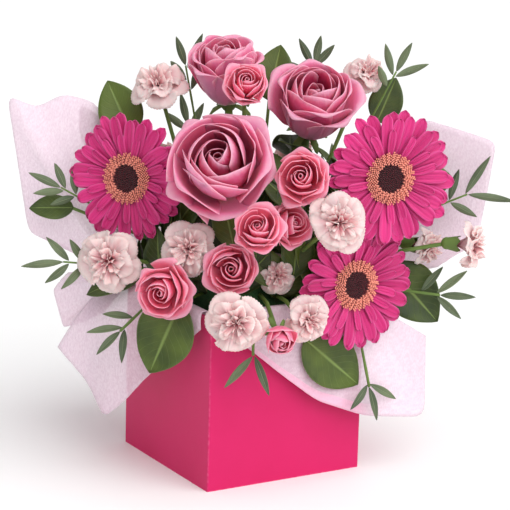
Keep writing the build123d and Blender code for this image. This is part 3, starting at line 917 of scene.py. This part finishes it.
print("salal leaves", {node: make_salal(node, 200 + i) for i, node in enumerate(nodes_named("salal"))})

# %% [markdown]
# ## Eucalyptus sprigs
# A sprig is a thin twig with narrow leaves. The twig is the long loose part, and each leaf's foot is the
# end that is nearer to it. The twig is made again as a tapering, slightly knotted tube along its line.


# %% Sprigs
def tube_grid(path, radius, sides=8):
    """A closed round tube along path: rings square to the path, drawn in to a point at both ends."""
    path = np.asarray(path, float)
    radius = np.asarray(radius, float)
    ahead = unit(np.gradient(path, axis=0))
    right = unit(np.cross(ahead, [0.31, 0.83, 0.46]))
    up = np.cross(ahead, right)
    around = np.arange(sides) * FULL_TURN / sides
    ring = right[:, None, :] * np.cos(around)[None, :, None] + up[:, None, :] * np.sin(around)[None, :, None]
    tube = path[:, None, :] + ring * radius[:, None, None]
    return np.concatenate([path[None, :1].repeat(sides, 1).reshape(1, sides, 3), tube,
                           path[None, -1:].repeat(sides, 1).reshape(1, sides, 3)])[None]


def share_along(points):
    """How far along a broken line each of its points is, from 0 to 1."""
    far = np.concatenate([[0], np.cumsum(np.linalg.norm(np.diff(points, axis=0), axis=1))])
    return far / far[-1]


def line_at(places, knots, points):
    """Where a broken line through points, which it meets at knots, is at each of the places."""
    return np.stack([np.interp(places, knots, points[:, i]) for i in range(3)], -1)


TWIG_STEPS, KNOT_EVERY = 26, 6


def twig_line(points):
    """The middle line of a bent tube: the centres of its rings of points, from the lowest on, then
    places at even steps along them."""
    rest, centres = points, []
    while len(rest):
        close = np.linalg.norm(rest - rest[0], axis=1) < 3 * MM
        centres.append(rest[close].mean(0))
        rest = rest[~close]
    chain = [centres.pop(int(np.argmin([c[2] for c in centres])))]
    while centres:
        chain.append(centres.pop(int(np.argmin([np.linalg.norm(c - chain[-1]) for c in centres]))))
    chain = np.array(chain)
    return line_at(np.linspace(0, 1, TWIG_STEPS), share_along(chain), chain)


LONGEST_LEAF = 50 * MM  # a loose part longer than this is a twig


def make_eucalyptus(node, seed):
    random = np.random.default_rng(seed)
    parts = loose_parts(node)
    is_twig = [np.linalg.norm(np.ptp(part, axis=0)) > LONGEST_LEAF for part in parts]
    twigs = [part for part, twig in zip(parts, is_twig) if twig]
    plates = [plate_frame(part, np.concatenate(twigs)) for part, twig in zip(parts, is_twig) if not twig]
    grid = blade_grids(plates, narrow_leaf, 0.30, 0.16, 0.02, random, 14, 7)
    leaves = thicken(skin(node + "_leaves", [grid], [random.uniform(0, 1, len(plates))]), 0.35 * MM)
    finish_piece(leaves, eucalyptus_leaf, body_of_node[node], "eucalyptus_leaf", node)
    girth = np.linspace(1.15, 0.75, TWIG_STEPS) * MM
    from_knot = np.arange(TWIG_STEPS) % KNOT_EVERY - KNOT_EVERY / 2
    girth = girth * (1 + 0.18 * np.exp(-(from_knot / 0.7) ** 2))
    stalks = [tube_grid(twig_line(twig), girth) for twig in twigs]
    made = skin(node + "_twigs", stalks, closed_round=True, weld=True)
    finish_piece(made, stem_green, body_of_node[node], "eucalyptus_leaf")
    return len(twigs), len(plates)


for i, node in enumerate(nodes_named("eucalyptus")):
    print(node, "twigs and leaves", make_eucalyptus(node, 300 + i))

# %% [markdown]
# ## Greenery under the blooms
# Florists pack leaves between the stems, so that no gap shows. These leaves lie on a dome inside the one
# that the heads make: each direction's distance is a share of the nearest heads' mean distance.
# Directions come from the sunflower spiral again, turned into a dome of even spacing.

# %% A dome of leaves, and their stalks
head_points = np.array([(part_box(n)[0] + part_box(n)[1]) / 2 for n in all_heads])
DOME_MIDDLE = np.array([0.0, 0.0, 158 * MM])
FOAM_TOP, LOWEST_FOOT, LOWEST_TIP = 170 * MM, 149 * MM, 153 * MM


def dome_distance(ways):
    """How far the heads are in each direction: their distances, weighted by how near each is to it."""
    offset = head_points - DOME_MIDDLE
    distance = np.linalg.norm(offset, axis=1)
    apart = np.arccos(np.clip(ways @ (offset / distance[:, None]).T, -1, 1))
    nearness = np.exp(-(apart / 0.35) ** 2) + 1e-9
    return (nearness * distance).sum(1) / nearness.sum(1)


def make_greenery(count, share, length, width, seed):
    """Leaves in so many directions, at a share of the heads' distance, and straight stalks to the foam."""
    random = np.random.default_rng(seed)
    number = np.arange(count)
    rise = 0.02 + 0.95 * (number + 0.5) / count
    angle = number * GOLDEN_ANGLE
    flat = np.sqrt(1 - rise**2)
    ways = np.stack([flat * np.cos(angle), flat * np.sin(angle), rise], -1)
    middle = DOME_MIDDLE + ways * (dome_distance(ways) * share)[:, None]
    middle = middle + random.normal(0, 3 * MM, (count, 3))
    up = unit(np.array([0, 0, 1.0]) - ways * ways[:, 2:])
    side = np.cross(ways, up)
    turn = random.uniform(-1.0, 1.0, count)[:, None]
    run = up * np.cos(turn) + side * np.sin(turn)
    reach = length * random.uniform(0.8, 1.15, count)[:, None]
    foot = middle - run * reach * 0.5 - ways * 7 * MM
    tip = middle + run * reach * 0.5 + ways * 5 * MM
    foot[:, 2] = np.maximum(foot[:, 2], LOWEST_FOOT)
    tip[:, 2] = np.maximum(tip[:, 2], LOWEST_TIP)
    faces = ways + random.normal(0, 0.22, (count, 3))
    plates = [(foot[i], tip[i], width * random.uniform(0.8, 1.15), faces[i]) for i in range(count)]
    grid = blade_grids(plates, broad_leaf, 0.22, 0.10, 0.05, random, 16, 9)
    leaves = thicken(skin("greenery_leaves", [grid], [random.uniform(0, 0.7, count)]), 0.4 * MM)
    finish_piece(leaves, salal_leaf, "arrangement", "salal_leaf")
    root = foot * [0.3, 0.3, 0] + [0, 0, FOAM_TOP - 1.5 * MM]
    paths = root + (foot - root) * np.linspace(0, 1, 7)[:, None, None]
    stalks = [tube_grid(paths[:, i], np.full(7, 0.6 * MM), 6) for i in range(count)]
    made = skin("greenery_stalks", stalks, closed_round=True, weld=True)
    finish_piece(made, stem_green, "arrangement", "stem_green")
    return leaves


made = make_greenery(84, 0.66, 44 * MM, 25 * MM, 500)
print(made.name, len(made.data.polygons), "faces before thickness")

# %% [markdown]
# ## Tissue sheets
# Each sheet is tucked down inside a wall, folds over the rim and falls or stands out to its own edge.
# Its surface is lofted: u runs along the wall, v runs from the tuck over the crest to the edge. Long
# soft waves grow towards the edge, and fine creases run out from the fold.


# %% Sheets lofted from the fold to their edge
RIM = 140 * MM
SHEET_STEP = 0.75 * MM  # from one layer of tissue to the next
TUCK_DEPTH = 56 * MM
TUCK_ROWS, FOLD_ROWS = 9, 3


def rounded_edge(edge, knots, s):
    """A broken line through the points of edge, sampled at s, its corners softened by a running mean."""
    line = line_at(s, knots, edge)
    padded = np.concatenate([line[:1].repeat(2, 0), line, line[-1:].repeat(2, 0)])
    soft = sum(weight * padded[i:i + len(s)] for i, weight in enumerate(np.array([1, 2, 3, 2, 1]) / 9))
    soft[0], soft[-1] = line[0], line[-1]
    return soft


def sheet_waves(wave, side, grown, random):
    """Two long sines across the sheet that grow towards the edge, and sharp-ridged creases between."""
    height, waves = wave
    p = random.uniform(0, 6.28, 6)

    def swing(count, shift):
        return np.sin(count * side * 6.28 + shift)

    soft_wave = swing(waves, p[0] + 1.1 * grown) + 0.5 * swing(2.3 * waves, p[1] - 2 * grown)
    crease = np.abs(swing(7.1, p[2] + 2.4 * grown)) ** 0.6
    crease = crease + 0.6 * np.abs(swing(11.3, p[3] - 3.0 * grown)) ** 0.7
    return height * MM * soft_wave * grown**1.3 + 0.5 * MM * (crease - 0.9) * np.clip(grown * 4, 0, 1)


def sheet_grid(outward, layer, along, edge, wave, bow, seed, rows=46, cols=56):
    """One sheet: a straight tuck, a short fold over the rim, and a Bezier fall from the fold to the edge.
    along lists places along the wall, in millimetres, one for each point of edge."""
    random = np.random.default_rng(seed)
    outward = np.array(outward, float)
    sideways = np.cross(outward, [0, 0, -1.0])
    up = np.array([0, 0, 1.0])
    edge = np.array(edge, float) * MM
    along = np.array(along, float) * MM
    crest = RIM + 4 * MM + layer * SHEET_STEP
    depth, lip = WALL_OUT - 1.5 * MM - layer * SHEET_STEP, WALL_OUT + 1.4 * MM + layer * SHEET_STEP
    share = np.abs(along - along[0]) / abs(along[-1] - along[0])
    knots = 0.25 * share + 0.75 * share_along(edge)
    s = np.linspace(0, 1, cols)
    rim_line = np.interp(s, knots, along)
    hem = rounded_edge(edge, knots, s)
    root = outward * depth + sideways * rim_line[:, None] + up * crest
    tucked = root - up * TUCK_DEPTH
    over = outward * lip + sideways * rim_line[:, None] + up * crest
    run = np.linalg.norm(hem - over, axis=1)[:, None]
    leave_out, leave_up, arrive_up, arrive_out = bow
    leave = over + (outward * leave_out + up * leave_up) * run
    arrive = hem + (over - hem) * 0.33 + (up * arrive_up + outward * arrive_out) * run
    fall_rows = rows - TUCK_ROWS - FOLD_ROWS
    t = np.linspace(0, 1, fall_rows)[:, None, None]
    fall = (1 - t) ** 3 * over + 3 * t * (1 - t) ** 2 * leave + 3 * t**2 * (1 - t) * arrive + t**3 * hem
    tuck = tucked + (root - tucked) * np.linspace(0, 1, TUCK_ROWS)[:, None, None]
    fold = root + (over - root) * np.linspace(0, 1, FOLD_ROWS + 2)[1:-1, None, None]
    sheet = np.concatenate([tuck, fold, fall])
    normal = unit(np.cross(np.gradient(sheet, axis=0), np.gradient(sheet, axis=1)))
    grown = np.concatenate([np.zeros(TUCK_ROWS + FOLD_ROWS), np.linspace(0, 1, fall_rows)])[:, None]
    return (sheet + normal * sheet_waves(wave, s[None, :], grown, random)[:, :, None])[None]


LEFT, FRONT, RIGHT, BACK = (-1, 0, 0), (0, -1, 0), (1, 0, 0), (0, 1, 0)
SHEETS = {
    # wall, layer, places along it, edge, (wave height, waves), bow of the fall; in millimetres
    "tissue_left_flap": (
        LEFT, 0, (-60, -40, -20, -4, 30, 62),
        ((-127, 78, 86), (-118, 50, 64), (-115, 21, 41), (-105, 4, 59), (-85, -34, 102), (-75, -62, 130)),
        (2.2, 1.3), (0.30, 0.04, 0.10, 0.06)),
    "tissue_left_middle": (
        LEFT, 1, (-58, -52, -48, -42),
        ((-112, 94, 144), (-129, 86, 132), (-120, 84, 100), (-100, 54, 118)),
        (1.6, 1.0), (0.3, 0.05, 0.05, 0.0)),
    "tissue_left_tall": (
        LEFT, 2, (-62, -58, -54, -51, -48, -46, -44),
        ((-114, 102, 166), (-136, 118, 174), (-152, 125, 287), (-132, 112, 278), (-114, 101, 290),
         (-92, 86, 284), (-76, 76, 250)),
        (0.8, 0.8), (0.18, 0.03, -0.02, 0.02)),
    "tissue_front_flap": (
        FRONT, 0, (-62, -30, 20, 50, 58, 64),
        ((-62, -75, 130), (-41, -78, 115), (20, -81, 66), (64, -83, 48), (118, -93, 42), (116, -91, 110)),
        (1.2, 1.6), (0.03, 0.0, 0.0, 0.0)),
    "tissue_right_tall": (
        RIGHT, 0, (-34, -24, -12, 4, 22),
        ((136, -76, 160), (172, -79, 182), (182, -84, 262), (131, -54, 280), (110, -20, 260)),
        (3.0, 1.1), (0.35, 0.02, -0.03, 0.05)),
    "tissue_back": (
        BACK, 0, (-52, -20, 20, 54),
        ((90, 114, 192), (30, 136, 232), (-30, 136, 238), (-86, 116, 214)),
        (3.2, 1.4), (0.35, 0.02, -0.02, 0.05)),
}


def grid_area(grid):
    """The area of a grid: half the length of the cross product of each square's diagonals, added up."""
    p = grid[0]
    return np.linalg.norm(np.cross(p[1:, 1:] - p[:-1, :-1], p[1:, :-1] - p[:-1, 1:]), axis=2).sum() / 2


for i, (node, (wall, layer, along, edge, wave, bow)) in enumerate(SHEETS.items()):
    grid = sheet_grid(wall, layer, along, edge, wave, bow, 400 + i)
    hemmed = np.array([1.0 if node == "tissue_front_flap" else 0.0])
    cloth = thicken(skin(node + "_sheet", [grid], [hemmed]), 0.25 * MM)
    finish_piece(cloth, tissue, "box", "tissue", node)
    wide = float(np.linalg.norm(grid[0][:, 0] - grid[0][:, -1], axis=1).max())
    long = float(np.linalg.norm(np.diff(grid[0], axis=0), axis=2).sum(axis=0).max())
    flat, area = (round(wide, 3), round(long, 3)), round(float(grid_area(grid)), 5)
    print(node, "flat", flat, "area", area, "share", round(area / wide / long, 3))

# %% [markdown]
# ## Stage, light and camera
# A pale floor, a very wide sun from the front right as the key, a weak soft lamp from the front, and an
# even pale sky for the shaded side.

# %% Floor
floor_mesh = bpy.data.meshes.new("floor")
floor_mesh.from_pydata([(-9, -9, 0), (9, -9, 0), (9, 9, 0), (-9, 9, 0)], [], [(0, 1, 2, 3)])
floor = add_object("floor", floor_mesh)
floor_white = Finish("floor_white", Roughness=0.6, Base_Color=(0.96, 0.96, 0.96, 1), Specular_IOR_Level=0.1)
floor_mesh.materials.append(floor_white.material)


# %% Lamps and sky
def soft_lamp(name, azimuth, height, distance, size, power, aim=(0, 0, 0.16)):
    """A square area lamp, at an azimuth round from the front and an angle of height, that faces the bunch."""
    a, e = np.radians(azimuth), np.radians(height)
    way = Vector((np.sin(a) * np.cos(e), -np.cos(a) * np.cos(e), np.sin(e)))
    lamp = add_object(name, bpy.data.lights.new(name, "AREA"))
    lamp.data.size, lamp.data.energy = size, power
    lamp.location = Vector(aim) + way * distance
    lamp.rotation_euler = way.to_track_quat("Z", "Y").to_euler()


sun = add_object("key", bpy.data.lights.new("key", "SUN"))
sun.data.energy, sun.data.angle = 2.4, np.radians(72)
sun.rotation_euler = Vector((0.17, -0.64, 0.75)).to_track_quat("Z", "Y").to_euler()
soft_lamp("front", azimuth=-20, height=30, distance=2.4, size=1.4, power=5)
sky = bpy.data.worlds.new("sky")
sky.use_nodes = True
sky.node_tree.nodes["Background"].inputs["Color"].default_value = (1.0, 1.0, 1.0, 1)
sky.node_tree.nodes["Background"].inputs["Strength"].default_value = 0.56
bpy.context.scene.world = sky
bpy.context.scene.view_settings.view_transform = "Standard"

# %% Camera
AZIMUTH, ELEVATION, ROLL, DISTANCE = np.radians(-30.57), np.radians(13.2), np.radians(1.6), 1.8
back = Vector((np.sin(AZIMUTH) * np.cos(ELEVATION), -np.cos(AZIMUTH) * np.cos(ELEVATION), np.sin(ELEVATION)))
right = Vector((np.cos(AZIMUTH), np.sin(AZIMUTH), 0))
camera = add_object("camera", bpy.data.cameras.new("camera"))
camera.data.lens, camera.data.sensor_width = 158.5, 36
camera.location = Vector((0, 0, 0.18)) + back * DISTANCE
aim = Vector((0, 0, 0.168)) + right * 0.0078
turned = (camera.location - aim).to_track_quat("Z", "Y").to_matrix() @ Matrix.Rotation(ROLL, 3, "Z")
camera.rotation_euler = turned.to_euler()
bpy.context.scene.camera = camera
